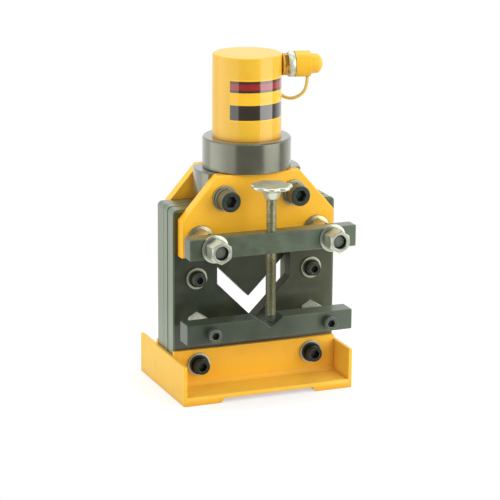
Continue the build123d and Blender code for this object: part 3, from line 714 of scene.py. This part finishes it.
def hand_screw():
    """The hold-down screw with its thread, above the reduced end that turns in the foot."""
    bm = bmesh.new()
    shoulder, neck = TIP_HIGH.z + FOOT_GAP, SCREW_RADIUS - NECK_STEP
    root = cut_thread(bm, SCREW_RADIUS, SCREW_PITCH, shoulder, SCREW_HIGH.z - SCREW_TOP)
    lathe(bm, [(root, shoulder), (neck, shoulder), (neck, SCREW_LOW.z), (0, SCREW_LOW.z)])
    weld(bm)
    close_ends(bm)
    middle = (SCREW_LOW + SCREW_HIGH) / 2
    bmesh.ops.translate(bm, verts=bm.verts, vec=(middle.x, middle.y, 0))
    piece = add_piece("hand_screw_thread", bm, "dark_steel")
    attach(piece, "hold_down_screw")
    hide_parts("clamp_screw")


KNOB_LOBES, LOBE_STEPS = 7, 24
SCALLOP_DEPTH = 0.0038
SCALLOP_TURN = math.radians(-137.7)      # of one scallop, from the right
HUB_RADIUS, KNOB_DISH = 0.0145, 0.0018


def hand_knob():
    """The hold-down's cast knob: a dished, deeply scalloped rim on a flared hub, bored for the screw."""
    low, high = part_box("clamp_knob")
    middle = (low + high) / 2
    rim = (high.x - low.x) / 2
    bore = [(0, SCREW_HIGH.z), (SCREW_RADIUS, SCREW_HIGH.z), (SCREW_RADIUS, low.z)]
    flare = [(0.0088, low.z), (0.0097, low.z + 0.0009), (0.0112, low.z + 0.005), (0.0129, low.z + 0.0088)]
    under = [(HUB_RADIUS, high.z - 0.0068), (0.0205, high.z - 0.0055), (rim - 0.0022, high.z - 0.0049)]
    lip = [
        (rim - 0.0006, high.z - 0.0042), (rim, high.z - 0.0028), (rim - 0.0003, high.z - 0.0013),
        (rim - 0.0012, high.z - 0.0003), (rim - 0.0028, high.z),
    ]
    dish = [(rim - 0.0052, high.z - 0.0005), (rim - 0.012, high.z - KNOB_DISH), (0, high.z - KNOB_DISH)]
    bm = bmesh.new()
    for vert in lathe(bm, bore + flare + under + lip + dish, LOBE_STEPS * KNOB_LOBES):
        across = vert.co.xy.length
        if across > HUB_RADIUS:
            around = math.atan2(vert.co.y, vert.co.x) - SCALLOP_TURN
            bite = (0.5 + 0.5 * math.cos(KNOB_LOBES * around)) ** 1.5
            share = (across - HUB_RADIUS) / (rim - HUB_RADIUS)
            vert.co.xy *= 1 - SCALLOP_DEPTH * bite * share / across
    bmesh.ops.translate(bm, verts=bm.verts, vec=(middle.x, middle.y, 0))
    piece = add_piece("hold_down_knob", bm, "zinc", KNOB_ZINC, 50)
    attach(piece, "hold_down_screw")
    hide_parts("clamp_knob")


def return_spring():
    """The ram's spring inside the cylinder, drawn at its full length; it does not shorten towards the gland as the
    ram comes down.
    """
    bm = bmesh.new()
    bm.from_mesh(frame["nodes"]["return_spring"].data)
    piece = add_piece("return_spring_coil", bm, "dark_steel", smooth=60)
    low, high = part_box("return_spring")
    stroke = next(max(joint["range_m"]) for joint in frame["joints"] if joint["name"] == "blade_stroke")
    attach(piece, "frame")
    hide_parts("return_spring")
    1 - stroke / (high.z - low.z)
    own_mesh(piece)


def stud(side):
    """One of the two studs that carry the upper bar, threaded from end to end."""
    bm = bmesh.new()
    cut_thread(bm, STUD_RADIUS, STUD_PITCH, STUD_LOW.y, STUD_HIGH.y)
    close_ends(bm)
    lay_along_y = Matrix.Rotation(math.radians(-90), 4, "X")
    across = side * (STUD_HIGH.x - STUD_RADIUS)
    place = Matrix.Translation((across, 0, (STUD_LOW.z + STUD_HIGH.z) / 2))
    bmesh.ops.transform(bm, matrix=place @ lay_along_y, verts=bm.verts)
    return bm


def studs():
    """Both studs, each a piece of its own."""
    for side, name in ((-1, "stud_thread_left"), (1, "stud_thread_right")):
        piece = add_piece(name, stud(side), "dark_steel", PALE_OXIDE)
        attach(piece, "frame")
        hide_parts("clamp_studs")


LOCK_OUTER, LOCK_THICKNESS = 1.24, 0.27     # of the screw head's radius
LOCK_SPLIT, LOCK_STEPS = math.radians(9), 56


def lock_washers(name, washers, screws, directions):
    """Split rings that show round the heads of two screws, on the washers' outer faces."""
    low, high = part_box(washers)
    head_low, head_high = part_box(screws)
    head = (head_high.z - head_low.z) / 2
    across, up = (head_high.x - head_low.x) / 2 - head, (low.z + high.z) / 2
    outer, thick = head * LOCK_OUTER, head * LOCK_THICKNESS
    bm = bmesh.new()
    for outwards in directions:
        face = low.y if outwards < 0 else high.y
        for side in (-1, 1):
            ring = bmesh.new()
            corners = [(head, 0), (outer, 0), (outer, thick), (head, thick)]
            verts, edges = chain(ring, corners, closed=True)
            round_turn = 2 * math.pi - LOCK_SPLIT
            bmesh.ops.spin(ring, geom=verts + edges, axis=UP, angle=round_turn, steps=LOCK_STEPS)
            close_ends(ring)
            turn = Matrix.Rotation(math.radians(-90 * outwards), 4, "X")
            place = Matrix.Translation((side * across, face, up))
            bmesh.ops.transform(ring, matrix=place @ turn, verts=ring.verts)
            join(bm, ring)
    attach(add_piece(name, bm, "black_oxide", DARK_OXIDE), "frame")


COUPLING_LAND = 0.001             # between the ring and the bore or the thread


def inlet_coupling():
    """The half coupling: a threaded nose with the valve's bore, and a knurled grip ring behind it."""
    bm = bmesh.new()
    start, end = GRIP_STATIONS
    inwards, along = NOSE_CHAMFER
    root = cut_thread(bm, NOSE_RADIUS, NOSE_PITCH, end, NOSE_END - along)
    draw_rim(bm, NOSE_END - along, root - inwards, NOSE_END)
    draw_rim(bm, NOSE_END, VALVE_BORE, NOSE_END)
    draw_rim(bm, NOSE_END, VALVE_BORE, start)

    rim = GRIP_RADIUS
    near, far = GRIP_CHAMFERS
    outline = [
        (VALVE_BORE + COUPLING_LAND, start), (rim - near, start), (rim, start + near),
        (rim, end - far), (rim - far, end), (root + COUPLING_LAND, end),
    ]
    for vert in lathe(bm, outline, 2 * GRIP_RIBS):
        turn = round(math.atan2(vert.co.y, vert.co.x) / (math.pi / GRIP_RIBS))
        if turn % 2 and vert.co.xy.length > rim - 1e-5:
            vert.co.xy *= (rim - GRIP_RIB_DEPTH) / rim
    for station in GRIP_STATIONS:
        bmesh.ops.bridge_loops(bm, edges=open_rim(bm, station))
    bmesh.ops.transform(bm, matrix=INLET_AXES, verts=bm.verts)
    piece = add_piece("inlet_coupling_threaded", bm, "zinc", SATIN_ZINC)
    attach(piece, "frame")
    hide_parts("coupler_body")


def route_curve():
    """The strap's line: a smooth spline with the route's points as its control points."""
    curve = bpy.data.curves.new("strap_line", "CURVE")
    curve.dimensions = "3D"
    curve.resolution_u = 24
    spline = curve.splines.new("NURBS")
    spline.points.add(len(STRAP_ROUTE) - 1)
    for point, stop in zip(spline.points, STRAP_ROUTE):
        point.co = (*on_inlet(*stop), 1)
    spline.order_u = 3
    spline.use_endpoint_u = True
    return curve


def mesh_of(curve):
    """The mesh that a curve gives."""
    line = bpy.data.objects.new("strap_line", curve)
    scene.collection.objects.link(line)
    bpy.context.view_layer.update()
    mesh = bpy.data.meshes.new_from_object(line.evaluated_get(bpy.context.evaluated_depsgraph_get()))
    bpy.data.objects.remove(line)
    return mesh


def strap():
    """The dust cap's strap, a moulded cord from the eye on the inlet's shank to the cap."""
    path = [vert.co.copy() for vert in mesh_of(route_curve()).vertices]
    tube = route_curve()
    tube.bevel_depth = STRAP_RADIUS
    tube.bevel_resolution = 5
    tube.use_fill_caps = True
    bm = bmesh.new()
    bm.from_mesh(mesh_of(tube))
    cord = add_piece("dust_cap_strap", bm, "yellow_plastic", STRAP_FINISH, 60)

    bm = bmesh.new()
    inner, outer = EYE_RADII
    low, high = EYE_STATIONS
    outline = [
        (inner, low), (outer - EYE_ROUND, low), (outer, low + EYE_ROUND),
        (outer, high - EYE_ROUND), (outer - EYE_ROUND, high), (inner, high), (inner, low),
    ]
    lathe(bm, outline)
    bmesh.ops.transform(bm, matrix=INLET_AXES, verts=bm.verts)
    eye = add_piece("dust_cap_strap_eye", bm, "yellow_plastic", EYE_PLASTIC_PAINTED_SHADE)
    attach(eye, "frame")
    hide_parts("cap_strap")

    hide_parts("cap_strap")
    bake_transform(cord)


# Studio

CAMERA_AZIMUTH = math.radians(22.073)     # from the front, towards the left
CAMERA_ELEVATION = math.radians(14.831)
CAMERA_ROLL = math.radians(0.39)
CAMERA_DISTANCE = 3.0997
CAMERA_FOCAL = 4.62                       # in image widths
LOOK_AT = Vector((0.00584, MIDDLE_Y, 0.1802))
SENSOR = 36.0


def camera():
    """The photograph's view: from the left front, a little above."""
    across, depth = math.cos(CAMERA_AZIMUTH), math.sin(CAMERA_AZIMUTH)
    right, forward = Vector((across, -depth, 0)), Vector((depth, across, 0))
    back = UP * math.sin(CAMERA_ELEVATION) - forward * math.cos(CAMERA_ELEVATION)
    turn = Matrix((right, back.cross(right), back)).transposed().to_4x4()
    roll = Matrix.Rotation(CAMERA_ROLL, 4, "Z")
    lens = bpy.data.cameras.new("camera")
    lens.sensor_width = SENSOR
    lens.lens = SENSOR * CAMERA_FOCAL
    view = bpy.data.objects.new("camera", lens)
    view.matrix_world = Matrix.Translation(LOOK_AT + back * CAMERA_DISTANCE) @ turn @ roll
    scene.collection.objects.link(view)
    scene.camera = view


def soft_box(name, azimuth, distance, height, width, tall, radiance):
    """A lamp that faces the object, its azimuth in degrees from the front, positive to the right."""
    lamp = bpy.data.lights.new(name, "AREA")
    lamp.shape = "RECTANGLE"
    lamp.size, lamp.size_y = width, tall
    lamp.energy = radiance * math.pi * width * tall
    angle = math.radians(azimuth)
    place = Vector((math.sin(angle) * distance, MIDDLE_Y - math.cos(angle) * distance, height))
    box = bpy.data.objects.new(name, lamp)
    aim = LOOK_AT - place
    box.matrix_world = Matrix.Translation(place) @ aim.to_track_quat("-Z", "Y").to_matrix().to_4x4()
    box.visible_camera = False
    scene.collection.objects.link(box)


WHITE = (1, 1, 1, 1)
ROOM_LIGHT = 0.95
DIM_WALL = 0.15                           # behind the camera, of the white wall


def studio_world():
    """White behind the object and to its sides, dim behind the camera; white wherever the camera looks."""
    world = bpy.data.worlds.new("studio")
    scene.world = world
    room = Finish(world)
    direction = room.node("ShaderNodeTexCoord", output="Generated")
    towards_back = room.node("ShaderNodeSeparateXYZ", sockets={"Vector": direction}, output="Y")
    wall = DIM_WALL + (1 - DIM_WALL) * room.ramp(towards_back, -0.35, 0.3)
    seen, mirrored = room.rays("Camera"), room.rays("Glossy", "Transmission")
    bright = seen + (1 - seen) * wall
    plain = room.node("ShaderNodeBackground", sockets={"Color": WHITE, "Strength": ROOM_LIGHT})
    shown = room.node("ShaderNodeBackground", sockets={"Color": WHITE, "Strength": bright})
    either = room.node("ShaderNodeMath", {"operation": "ADD", "use_clamp": True}, {0: seen, 1: mirrored})
    lit = room.node("ShaderNodeMixShader", sockets={0: either, 1: plain, 2: shown})
    room.node("ShaderNodeOutputWorld", sockets={"Surface": lit})


PAPER = (0.5, 0.5, 0.495, 1)
FLOOR_RADIUS, FLOOR_SEGMENTS = 0.6, 96
FLOOR_GAP = 0.0003
FLOOR_FADE = (0.27, 0.5)                  # from the middle
FLOOR_LIFT = 0.5                          # glow, only as the camera and mirrors see it


def floor():
    """A pale round table that takes the shadow and fades into the white round it."""
    bm = bmesh.new()
    bmesh.ops.create_circle(bm, cap_ends=True, segments=FLOOR_SEGMENTS, radius=FLOOR_RADIUS)
    bmesh.ops.translate(bm, verts=bm.verts, vec=(0, MIDDLE_Y, -FLOOR_GAP))
    mesh = bpy.data.meshes.new("floor")
    bm.to_mesh(mesh)
    bm.free()
    table = finish("pale_floor")
    x, y, _ = table.axes()
    reach = (x ** 2 + (y - MIDDLE_Y) ** 2) ** 0.5
    paper = table.node("ShaderNodeBsdfDiffuse", sockets={"Color": PAPER})
    glow = table.node("ShaderNodeEmission", sockets={"Strength": FLOOR_LIFT})
    lifted = table.node("ShaderNodeAddShader", sockets={0: paper, 1: glow})
    seen = table.rays("Camera", "Glossy", "Transmission")
    paper = table.node("ShaderNodeMixShader", sockets={0: seen, 1: paper, 2: lifted})
    clear = table.node("ShaderNodeBsdfTransparent")
    gone = table.ramp(reach, *FLOOR_FADE)
    faded = table.node("ShaderNodeMixShader", sockets={0: gone, 1: paper, 2: clear})
    table.node("ShaderNodeOutputMaterial", sockets={"Surface": faded})
    mesh.materials.append(table.owner)
    ground = bpy.data.objects.new("floor", mesh)
    scene.collection.objects.link(ground)


camera()
studio_world()
floor()
soft_box("left_soft_box", azimuth=-90, distance=1.7, height=0.4, width=3.0, tall=1.5, radiance=1.08)
soft_box("right_soft_box", azimuth=47, distance=2.1, height=0.72, width=2.1, tall=2.0, radiance=2.6)
soft_box("top_soft_box", azimuth=150, distance=0.5, height=2.2, width=1.6, tall=1.6, radiance=2.0)

dress_nodes()
hand_screw()
hand_knob()
return_spring()
studs()
lock_washers("plate_lock_washers", "plate_bolt_washers", "plate_bolts", (-1,))
lock_washers("base_lock_washers", "base_bolt_washers", "base_bolts_front", (-1, 1))
inlet_coupling()
strap()
